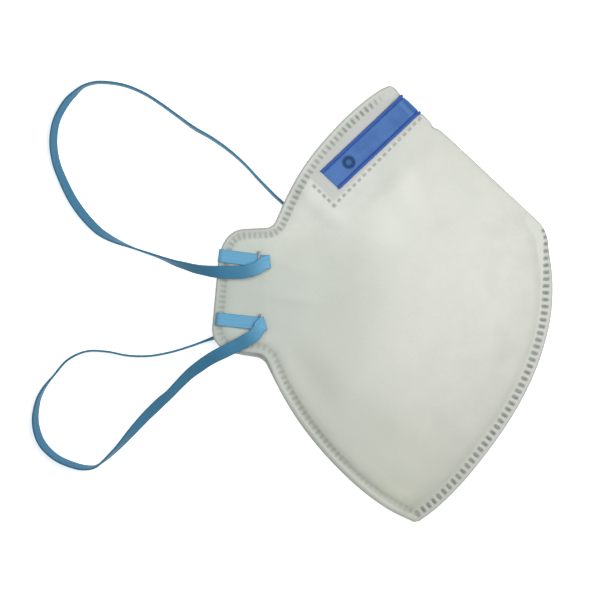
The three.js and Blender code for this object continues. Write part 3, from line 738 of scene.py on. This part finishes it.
# Painted shade along the cut edges of the sheet, weaker on the lower half's face edge.
face_edge_painted_shade = face_in.step_down(0.2, 1.0) * (1 - lower_half * 0.85)
edge_painted_shade = face_edge_painted_shade.highest(front_in.step_down(0.1, 0.6) * 0.85)
base = layered(
    # painted light and shade: lighter to the east, darker and yellower to the south
    east.step_up(-0.035, 0.055).tint((0.488, 0.534, 0.486), (0.532, 0.538, 0.493)),
    (north.step_down(-0.085, -0.01), (0.508, 0.522, 0.438)),
    (cloud.step_up(0.35, 0.7) * 0.5, (0.552, 0.55, 0.508)),
    # painted shade on the low cheek, painted light on the brow and along the front
    (low_cheek_painted_shade * 0.24, (0.30, 0.33, 0.30)),
    (brow * 0.3, (0.62, 0.635, 0.60)),
    (east.step_up(0.055, 0.09) * 0.3, (0.64, 0.64, 0.60)),
    (mottle.step_up(0.35, 0.7) * 0.28, (0.47, 0.494, 0.446)),
    (bonds * 0.07, (0.4, 0.415, 0.385)),
    (tab * 0.16, (0.36, 0.4, 0.37)),
    # pressed cloth and painted shade in the clip's pocket
    (pocket_press_and_shade * face_in.step_up(3.0, 5.5) * 0.62, (0.37, 0.38, 0.372)),
    # painted light on the lighter patches, painted shade on the darker ones
    (web.step_up(0.0, 1.0) * 0.3, (0.62, 0.635, 0.575)),
    ((0 - web).step_up(0.0, 1.0) * 0.5, (0.44, 0.45, 0.39)),
    # painted shade in the weld groove
    (mark_groove_painted_shade, (0.33, 0.35, 0.32)),
    (seam_shade * 0.2, (0.33, 0.345, 0.32)),
    (pressed * 0.8, (0.235, 0.252, 0.232)),
    (face_in.step_down(1.2, 4.2) * 0.25, (0.33, 0.35, 0.33)),
    # painted highlight on the rim bead
    (rim_bead_painted_highlight * 0.2, (0.74, 0.76, 0.72)),
    (selvage * 0.3, (0.35, 0.352, 0.36)),
    # painted light on the lower half's face rim, lifting it out of the shade between the halves
    (lower_half * face_in.step_down(1.0, 3.0) * 0.7, (0.85, 0.86, 0.84)),
    # painted shade along the edges
    (edge_painted_shade * 0.66, (0.235, 0.24, 0.225)),
)
height = (fibres - 0.5) * 0.03 + (mottle - 0.5) * 0.12 - bonds * 0.02 - pressed * 0.16
finish_material(
    shade, base, 0.88 - pressed * 0.3, height,
    {"Sheen Weight": 0.1, "Sheen Roughness": 0.5, "Specular IOR Level": 0.25},
)
body_mesh.materials.append(nonwoven)

outline = np.concatenate([FACE_LINE, FRONT_LINE[::-1]]) - FOLD_START
half_area = abs(cross(outline[:-1], outline[1:]).sum()) / 2
flat_width = 2 * np.abs(cross(CLIP_ACROSS, outline)).max()
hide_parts("filter_body")
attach(body, "root")


# ---- Weld marks ------------------------------------------
# Where the welding horn has pressed the layers together, each mark is a small flat oval of melted,
# slightly glassy film. They run in a row along the face edge, along the front seam, and as dots
# round the pocket of the nose clip, on both halves.
FILM_THICKNESS, FILM_SHARE, DOT_PRESS = 0.045, 0.66, 0.6


def weld_marks():
    """Each mark's middle in plan, the turn of its long axis, its length and width, and its press."""
    lengths = np.interp(np.arange(1, math.floor(MARK_COUNTS[-1])), MARK_COUNTS, MARK_STOPS)
    places, turns = across_line(MARK_LINE, lengths, 0 * lengths)
    size = np.interp(np.interp(lengths, run_along(MARK_LINE), edge_lengths), *FACE_PRESS.values())
    yield places, turns, FACE_MARK[0] * (0.5 + 0.5 * size), FACE_MARK[1] * size**0.4, size
    lengths = np.arange(SEAM_ROW["start"], FRONT_LENGTH - 2, SEAM_ROW["pitch"])
    places, turns = across_line(FRONT_LINE, lengths, -seam_depth(lengths))
    full = np.ones(len(lengths))
    yield places, turns, seam_mark_length(lengths), full * SEAM_ROW["width"], full
    for end, count in DOT_ROWS:
        steps = np.arange(count + 1)[:, None] / count
        full = np.ones(count + 1)
        turns = full * heading(end - DOT_CORNER)
        places = DOT_CORNER + (end - DOT_CORNER) * steps
        yield places, turns, full * DOT_MARK[0], full * DOT_MARK[1], full * DOT_PRESS


places, turns, long, wide, press = (np.concatenate(column) for column in zip(*weld_marks()))
both_halves = [body_surface(places, side, False)[0] for side in (1, -1)]
mark_points = bpy.data.meshes.new("mark_points")
mark_points.from_pydata((np.concatenate(both_halves) * MM).tolist(), [], [])
on_points(
    mark_points, turn=np.tile(turns, 2), long=np.tile(long * MM, 2), wide=np.tile(wide * MM, 2),
    press=np.tile(press, 2),
)


def film_tree(material):
    """Lays one squashed bead on every point and settles it on the cloth's surface."""
    tree = bpy.data.node_groups.new("weld_film", "GeometryNodeTree")
    for name, kind, way in (
        ("Points", "NodeSocketGeometry", "INPUT"), ("Cloth", "NodeSocketObject", "INPUT"),
        ("Share of mark", "NodeSocketFloat", "INPUT"), ("Film thickness", "NodeSocketFloat", "INPUT"),
        ("Marks", "NodeSocketGeometry", "OUTPUT"),
    ):
        tree.interface.new_socket(name, in_out=way, socket_type=kind)
    given = tree.nodes.new("NodeGroupInput").outputs
    points, cloth, share, thickness = (Weave(tree, socket) for socket in given[:4])
    made = Weave(tree).node

    def number(name):
        return made("GeometryNodeInputNamedAttribute", {"data_type": "FLOAT"}, {"Name": name})

    bead = made("GeometryNodeMeshUVSphere", None, {"Segments": 10, "Rings": 4, "Radius": 0.5})
    bead = made(
        "GeometryNodeStoreNamedAttribute", {"data_type": "FLOAT"},
        {"Geometry": bead, "Name": "rise", "Value": made("GeometryNodeInputPosition").axis(2)},
    )
    share = share * made(
        "FunctionNodeRandomValue", {"data_type": "FLOAT"}, {2: 0.88, 3: 1.06, "Seed": 11}, 1
    )
    scale = made(
        "ShaderNodeCombineXYZ", None, {0: number("long") * share, 1: number("wide") * share, 2: 1e-6}
    )
    turn = made("ShaderNodeCombineXYZ", None, {2: number("turn")})
    beads = made(
        "GeometryNodeInstanceOnPoints", None,
        {"Points": points, "Instance": bead, "Rotation": turn, "Scale": scale},
    )
    beads = made("GeometryNodeRealizeInstances", None, {0: beads})
    cloth = made("GeometryNodeObjectInfo", None, {"Object": cloth}, "Geometry")
    on_cloth, facing = (
        made(
            "GeometryNodeSampleNearestSurface", {"data_type": "FLOAT_VECTOR"},
            {"Mesh": cloth, "Value": made(f"GeometryNodeInput{wanted}")},
        )
        for wanted in ("Position", "Normal")
    )
    lift = made(
        "ShaderNodeVectorMath", {"operation": "SCALE"}, {0: facing, "Scale": number("rise") * thickness}
    )
    beads = made("GeometryNodeSetPosition", None, {0: beads, "Position": on_cloth, "Offset": lift})
    beads = made("GeometryNodeSetMaterial", None, {0: beads, "Material": material})
    tree.links.new(beads.socket, tree.nodes.new("NodeGroupOutput").inputs[0])
    return tree


film, shade = new_material("pressed_film")
here = shade.object_place()
patchy, specks = here.noise(160.0), here.noise(2200.0)
colour = layered(
    patchy.step_up(0.35, 0.65).tint((0.205, 0.222, 0.203), (0.262, 0.278, 0.257)),
    (specks.step_up(0.45, 0.75) * 0.3, (0.165, 0.18, 0.165)),
)
colour = shade.attribute("press").tint((0.43, 0.45, 0.415), colour)
finish_material(shade, colour, specks * 0.2 + 0.5, (specks - 0.5) * 0.012, {"Specular IOR Level": 0.2})

holder = new_object("mark_holder", mark_points)
grower = holder.modifiers.new("weld_film", "NODES")
grower.node_group = film_tree(film)
settings = {"Cloth": body, "Share of mark": FILM_SHARE, "Film thickness": 2 * FILM_THICKNESS * MM}
for socket in grower.node_group.interface.items_tree:
    if socket.name in settings:
        grower[socket.identifier] = settings[socket.name]
grown = holder.evaluated_get(bpy.context.evaluated_depsgraph_get())
marks_mesh = bpy.data.meshes.new_from_object(grown)
bpy.data.objects.remove(holder)
marks_mesh.name = "weld_film_marks"
marks_mesh.polygons.foreach_set("use_smooth", [True] * len(marks_mesh.polygons))
marks = new_object("weld_film_marks", marks_mesh)
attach(marks, "root")
2 * half_area * MM**2


# ---- Nose clip -------------------------------------------
# A strip of blue polypropylene with a soft wire inside, moulded with a raised rail along each long
# side. It is laid over the fold and pressed round it, and a spot weld near its foot holds it.
CLIP_BASE, CLIP_RAIL, RAIL_WIDTH = 0.6, 1.1, 1.05
CLIP_SIDE = CLIP["width"] / 2
SPOT = dict(place=(10.05, 0.1, 0), radius=3.0)


def clip_profile():
    """Section across the clip: flat inside, and outside a rail, a groove and the middle panel."""
    s, r, w = CLIP_SIDE, CLIP_RAIL, RAIL_WIDTH
    right = [
        (s - 0.12, 0.0), (s, 0.14), (s, r - 0.28), (s - 0.1, r - 0.08), (s - 0.32, r),
        (s - w + 0.3, r), (s - w + 0.08, r - 0.1), (s - w, r - 0.3), (s - w - 0.06, 0.4),
        (s - w - 0.2, 0.34), (s - w - 0.36, 0.42), (s - w - 0.5, CLIP_BASE),
    ]
    panel = [(x, CLIP_BASE) for x in np.linspace(s - w - 1.0, 1.0 - s + w, 7)]
    left = [(-x, y) for x, y in reversed(right)]
    under = [(x, 0.0) for x in np.linspace(-s + 1.2, s - 1.2, 6)]
    return np.array([*right, *panel, *left, *under])


def clip_path():
    """Inner face of the clip across the fold: how far along, how high, and its outward lean."""
    depth, straight_to = FOLD_ROUND + CLIP["gap"], CLIP_FOLD - FOLD_ROUND
    legs = np.concatenate([[0, 0.06, 0.2], np.linspace(0.6, straight_to, 36)])
    rise = BODY["fold"] + CLIP["gap"] + CLIP["slope"] * (CLIP_FOLD - legs)
    lean = np.linspace(0, math.pi, 26)[1:-1]
    return (
        np.concatenate([legs, straight_to + depth * np.sin(lean), legs[::-1]]),
        np.concatenate([rise, rise[-1] * np.cos(lean), -rise[::-1]]),
        np.concatenate([0 * legs, lean, 0 * legs + math.pi]),
    )


def lofted(name, rings, material, sharp=None):
    """A closed mesh through rings of points in millimetres, with a flat face at each end."""
    rings = np.asarray(rings)
    place = np.arange(rings.shape[0] * rings.shape[1]).reshape(rings.shape[:2])
    onward = np.roll(place, -1, axis=1)
    sides = np.stack([place[:-1], onward[:-1], onward[1:], place[1:]], axis=-1).reshape(-1, 4)
    faces = [list(map(int, f)) for f in (*sides, place[0][::-1], place[-1])]
    made = new_mesh(name, rings, faces, flat_ends=2)
    made.materials.append(material)
    if sharp:
        made.set_sharp_from_angle(angle=math.radians(sharp))
    return new_object(name, made)


section = clip_profile()
clip_rings = []
for along, rise, turn in zip(*clip_path()):
    bend = math.sin(turn) ** 2
    edge = (np.abs(section[:, 0]) / CLIP_SIDE) ** 3
    up = section[:, 1] + bend * mix(0.35, 0.0, edge) * (section[:, 1] > 0.01)
    wide = section[:, 0] * (1 + 0.035 * bend * edge)
    plan = np.outer(along + math.sin(turn) * up, CLIP_ALONG) + np.outer(wide, CLIP_ACROSS)
    z = BODY["mid_z"] + rise + math.cos(turn) * up
    clip_rings.append(np.column_stack([CLIP["foot"] + plan, z]))

blue_plastic, shade = new_material("blue_plastic")
centred = shade.object_place().seen_from(CLIP["foot"], CLIP["angle"])
along, aside = centred.axis(0), abs(centred.axis(1))
on_rail = aside.step_up(CLIP_SIDE - RAIL_WIDTH - 0.15, CLIP_SIDE - RAIL_WIDTH + 0.15)
# Painted shade in the groove between each rail and the middle panel.
groove_painted_shade = abs(aside - (CLIP_SIDE - RAIL_WIDTH - 0.25)).step_down(0.12, 0.45)
from_spot = centred.vector("SUBTRACT", SPOT["place"]).vector("MULTIPLY", (1, 1, 0))
from_spot = from_spot.vector("LENGTH", out=1)
spot = from_spot.step_down(0.62 * SPOT["radius"], SPOT["radius"])
spot_ring = spot * from_spot.step_up(0.25 * SPOT["radius"], 0.5 * SPOT["radius"])
spot_middle = spot - spot_ring
# Painted highlight across the clip where it starts to bend round the fold.
bend_painted_highlight = abs(along - (CLIP_FOLD - 1.6)).step_down(0.3, 1.5)
drift, grain = centred.noise(0.16), centred.noise(9.0)
drawn = centred.vector("MULTIPLY", (0.05, 2.2, 1)).noise(1.6, 3.0, 0.6)
colour = layered(
    drift.step_up(0.35, 0.65).tint((0.036, 0.103, 0.295), (0.047, 0.126, 0.335)),
    (drawn.step_up(0.4, 0.75) * 0.3, (0.066, 0.162, 0.40)),
    # painted light: lighter towards the clip's foot
    (along.step_down(0.0, 17.0) * 0.25, (0.075, 0.17, 0.41)),
    # painted highlight at the bend
    (bend_painted_highlight * 0.3, (0.12, 0.22, 0.46)),
    (on_rail * 0.85, (0.028, 0.078, 0.315)),
    # painted shade in the groove
    (groove_painted_shade * 0.45, (0.016, 0.055, 0.25)),
    (spot_ring * 0.92, (0.004, 0.026, 0.08)),
    (spot_middle * 0.5, (0.012, 0.06, 0.16)),
)
height = (grain - 0.5) * 0.02 + (drawn - 0.5) * 0.02 - spot_ring * 0.3 - spot_middle * 0.1
finish_material(shade, colour, (grain - 0.5) * 0.12 + 0.42, height, {"Specular IOR Level": 0.12})
clip = lofted("nose_clip_strip", clip_rings, blue_plastic, sharp=50)
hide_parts("nose_clip")
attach(clip, "root")


# ---- Head straps -----------------------------------------
# Flat bands of blue elastic, 5 mm wide and 0.8 mm thick. Each end lies on the ear tab as a tail,
# is stapled through the sheet, and folds back over the tail at a slanting crease. The free bands
# have fallen on the floor in a loop, mostly standing on edge.
STRAP_WIDTH, STRAP_THICKNESS, STRAP_CLEARANCE = 5.0, 0.8, 0.1
TAIL_Z, FOLD_RADIUS = 14.0, 0.85
STRAPS = {
    "upper": dict(
        tail=dict(x=-28.3, y=17.3, heading=-7.8, length=19.7),
        near_heading=200, far_heading=90,
        # x, y, roll (0 and 180 flat, 90 on edge), lift of the lowest edge above the floor
        route=[
            (-13.5, 12.4, 180, 15.2), (-18.1, 11.1, 180, 15.1), (-24.2, 10.8, 172, 14.6),
            (-29.5, 11.0, 152, 13.6), (-33.5, 11.5, 137, 11.6), (-37.4, 12.2, 129, 9.2),
            (-41.2, 13.3, 120, 6.6), (-45.0, 14.4, 111, 4.1), (-48.8, 15.8, 101, 2.1),
            (-52.5, 17.2, 95, 0.9), (-60.1, 19.8, 90, 0.1), (-63.8, 21.2, 84, 0), (-67.5, 22.7, 74, 0),
            (-71.1, 24.5, 65, 0), (-74.5, 26.7, 58, 0), (-80.1, 32.4, 53, 0), (-84.7, 38.9, 53, 0),
            (-88.3, 46.1, 56, 0), (-91.1, 53.5, 59, 0), (-92.1, 61.5, 60, 0), (-90.8, 69.5, 63, 0),
            (-86.8, 76.7, 65, 0), (-84.0, 79.6, 72, 0), (-80.8, 82.3, 83, 0), (-76.9, 83.7, 85, 0),
            (-72.9, 84.0, 85, 0), (-65.0, 82.9, 85, 0), (-57.6, 80.0, 85, 0), (-50.8, 75.8, 85, 0),
            (-44.3, 71.1, 84, 0), (-37.8, 66.4, 82, 0), (-30.9, 62.4, 83, 0), (-24.4, 57.8, 84, 0),
            (-18.5, 52.6, 86, 0), (-13.0, 46.7, 85, 0), (-7.5, 41.0, 84, 0), (-1.7, 35.0, 86, 0),
            (-1.4, 31.0, 82, 0), (-3.6, 27.2, 65, 0.2), (-6.8, 23.2, 35, 1.2), (-8.4, 18.6, 8, 2.4),
        ],
    ),
    "lower": dict(
        tail=dict(x=-29.2, y=-7.0, heading=-6.4, length=18.8),
        near_heading=222, far_heading=192,
        route=[
            (-13.9, -12.6, 180, 15.2), (-17.4, -15.1, 180, 15.1), (-21.2, -17.2, 180, 14.8),
            (-25.2, -19.2, 171, 14.3), (-28.9, -21.0, 160, 13.2), (-32.4, -23.0, 152, 11.2),
            (-35.7, -25.3, 149, 9.2), (-38.9, -27.7, 141, 7.2), (-41.8, -30.4, 135, 5.3),
            (-44.6, -33.3, 131, 3.8), (-47.4, -36.2, 130, 2.5), (-50.4, -38.8, 136, 1.5),
            (-53.3, -41.6, 136, 0.8), (-56.2, -44.4, 133, 0.3), (-61.6, -50.3, 124, 0),
            (-66.9, -56.3, 108, 0), (-69.7, -59.1, 102, 0), (-72.7, -61.8, 94, 0), (-75.9, -64.0, 85, 0),
            (-79.7, -64.4, 74, 0), (-83.6, -63.7, 68, 0), (-91.0, -60.5, 65, 0), (-96.7, -54.7, 61, 0),
            (-99.0, -47.0, 66, 0), (-98.1, -39.0, 75, 0), (-96.6, -35.3, 81, 0), (-94.4, -31.9, 87, 0),
            (-91.9, -28.9, 92, 0), (-86.6, -22.9, 92, 0), (-79.4, -19.6, 90, 0), (-71.4, -19.7, 89, 0),
            (-63.5, -21.2, 89, 0), (-55.6, -21.4, 89, 0), (-47.7, -20.1, 89, 0), (-40.1, -17.9, 89, 0),
            (-32.5, -15.2, 86, 0), (-24.6, -12.6, 62, 0.3), (-19.4, -11.2, 28, 1.5),
            (-14.9, -10.2, 5, 2.5),
        ],
    ),
}
UP = np.array([0.0, 0.0, 1.0])


def unit(v):
    return v / np.linalg.norm(v)


def heading_vector(degrees):
    a = math.radians(degrees)
    return np.array([math.cos(a), math.sin(a), 0.0])


def end_frames(tail, out_heading, side):
    """Middles and half-widths of a tail and its fold, from the cut end to the free band."""
    into, out = heading_vector(tail["heading"]), heading_vector(out_heading)
    across = np.cross(UP, into)
    normal = unit(into - out)
    crease = unit(np.cross(UP, normal))
    if crease @ across < 0:
        crease = -crease
    z = TAIL_Z if side > 0 else 2 * BODY["mid_z"] - TAIL_Z
    start = np.array([tail["x"], tail["y"], z])
    half = STRAP_WIDTH / 2
    skew = crease @ across
    clear = half * math.sqrt(1 / skew**2 - 1) + 0.5
    flat = into * (tail["length"] - clear)
    frames = [(start + flat * share, across * half) for share in np.linspace(0, 1, 12)]
    bend = start + into * (tail["length"] - FOLD_RADIUS)
    for turn in np.linspace(0, math.pi, 15):
        middle = bend + normal * FOLD_RADIUS * math.sin(turn)
        middle = middle + UP * side * FOLD_RADIUS * (1 - math.cos(turn))
        frames.append((middle, crease * half / skew))
    out_across = np.cross(UP, out)
    if out_across @ crease < 0:
        out_across = -out_across
    frames.append((bend + out * clear + UP * side * 2 * FOLD_RADIUS, out_across * half))
    return frames


def route_frames(route):
    """Middles and half-widths of the free band on its way over the floor."""
    route = np.array(route, float)
    frames = []
    for i, (x, y, roll, lift) in enumerate(route):
        ahead, behind = route[min(i + 1, len(route) - 1), :2], route[max(i - 1, 0), :2]
        left = np.cross(UP, unit(np.array([*(ahead - behind), 0.0])))
        a = math.radians(roll)
        across = left * math.cos(a) + UP * math.sin(a)
        rise = STRAP_WIDTH / 2 * abs(math.sin(a)) + STRAP_THICKNESS / 2 * abs(math.cos(a))
        frames.append((np.array([x, y, lift + rise + STRAP_CLEARANCE]), across * STRAP_WIDTH / 2))
    return frames


def knots_curve(points, between, power):
    """A smooth line through points, knotted by their distances to the given power."""
    p = np.array(points, float)
    p = np.concatenate([[2 * p[0] - p[1]], p, [2 * p[-1] - p[-2]]])
    steps = np.diff(p, axis=0)
    gaps = np.maximum(1e-4, np.linalg.norm(steps, axis=1) ** power)[:, None]
    pace = steps / gaps
    speeds = pace[:-1] - (steps[:-1] + steps[1:]) / (gaps[:-1] + gaps[1:]) + pace[1:]
    t = np.linspace(0, 1, between + 1)[:-1, None]
    pieces = [
        cubic(a, b, leaving * gap, arriving * gap, t)
        for a, b, leaving, arriving, gap in zip(p[1:], p[2:], speeds, speeds[1:], gaps[1:])
    ]
    return np.concatenate([*pieces, p[-2:-1]])


def same_way(halves):
    """Turns each half-width round that points against the one before it."""
    for i in range(1, len(halves)):
        if halves[i] @ halves[i - 1] < 0:
            halves[i] = -halves[i]
    return halves


def strap_frames(strap):
    """Middles and half-widths of a whole strap, from one cut end to the other."""
    near = end_frames(strap["tail"], strap["near_heading"], 1)
    far = end_frames(strap["tail"], strap["far_heading"], -1)[::-1]
    free = [near[-1], *route_frames(strap["route"]), far[0]]
    middles = knots_curve([middle for middle, _ in free], between=8, power=0.5)
    halves = knots_curve(same_way(np.array([half for _, half in free])), between=8, power=0.0)
    halves = halves / np.linalg.norm(halves, axis=1)[:, None] * STRAP_WIDTH / 2
    frames = [*near[:-1], *zip(middles, halves), *far[1:]]
    return np.array([m for m, _ in frames]), same_way(np.array([half for _, half in frames]))


def band_section():
    """Section of the band with rounded edges: share of the half-width, and height in mm."""
    t = STRAP_THICKNESS / 2
    top = [(x, t) for x in (0.93, 0.86, 0.5, 0.0, -0.5, -0.86, -0.93)]
    edge = [(-0.985, t * 0.72), (-1.0, 0.0), (-0.985, -t * 0.72)]
    return np.array([*top, *edge, *[(-x, -y) for x, y in top], *[(-x, -y) for x, y in edge]])


blue_elastic, shade = new_material("blue_elastic")
along, across, free = (shade.attribute(f"band_{name}") for name in ("along", "across", "free"))
ribbed = shade.node("ShaderNodeCombineXYZ", None, {0: along * 0.05, 1: across * 2.5, 2: 0.0})
streaks, wide_streaks = ribbed.noise(4.0, 3.0, 0.6), ribbed.noise(1.3)
dust = shade.object_place().noise(900.0)
selvage = abs(across).step_up(0.86, 0.98)
colour = layered(
    wide_streaks.step_up(0.35, 0.65).tint((0.108, 0.305, 0.475), (0.122, 0.333, 0.51)),
    (streaks.step_up(0.35, 0.8) * 0.1, (0.16, 0.38, 0.55)),
    (selvage * 0.4, (0.055, 0.19, 0.31)),
    # painted shade: the free band on the floor is painted darker than the tails on the ear tab
    (free * 0.88, (0.034, 0.148, 0.255)),
)
height = (streaks - 0.5) * 0.012 + (dust - 0.5) * 0.015
finish_material(shade, colour, (streaks - 0.5) * 0.15 + 0.5, height, {"Specular IOR Level": 0.12})

section = band_section()
for name, strap in STRAPS.items():
    middles, halves = strap_frames(strap)
    face = np.cross(np.gradient(middles, axis=0), halves)
    face = face / np.linalg.norm(face, axis=1)[:, None]
    rings = (
        middles[:, None]
        + halves[:, None] * section[None, :, :1]
        + face[:, None] * section[None, :, 1:]
    )
    band = lofted(f"{name}_strap_band", rings, blue_elastic)
    run = run_along(middles)
    from_end = np.minimum(run, run[-1] - run) - strap["tail"]["length"]
    on_points(
        band.data,
        band_along=np.repeat(run, len(section)),
        band_across=np.tile(section[:, 0], len(middles)),
        # share of the free band, which the material paints darker as painted shade
        band_free=np.repeat(smooth(from_end, 1, 13), len(section)),
    )
    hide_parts(f"{name}_strap")
    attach(band, "root")


# ---- Staples ---------------------------------------------
# Flat steel wire, driven through the end of each strap and the ear tab and clenched on the other
# side, one above and one below on each strap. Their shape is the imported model's own.
staple_wire, shade = new_material("drawn_wire")
here = shade.object_place()
draw_lines = here.vector("MULTIPLY", (6.0, 0.6, 6.0)).noise(900.0)
scuffs = here.noise(700.0, 3.0, 0.6)
colour = scuffs.step_up(0.35, 0.7).tint((0.19, 0.195, 0.20), (0.12, 0.125, 0.13))
finish_material(shade, colour, draw_lines * 0.2 + 0.4, (draw_lines - 0.5) * 0.01, {"Metallic": 1.0})
for strap in STRAPS:
    for place in ("near", "far"):
        slot = bpy.data.objects[f"{strap}_{place}_staple"].material_slots[0]
        slot.link = "OBJECT"
        slot.material = staple_wire
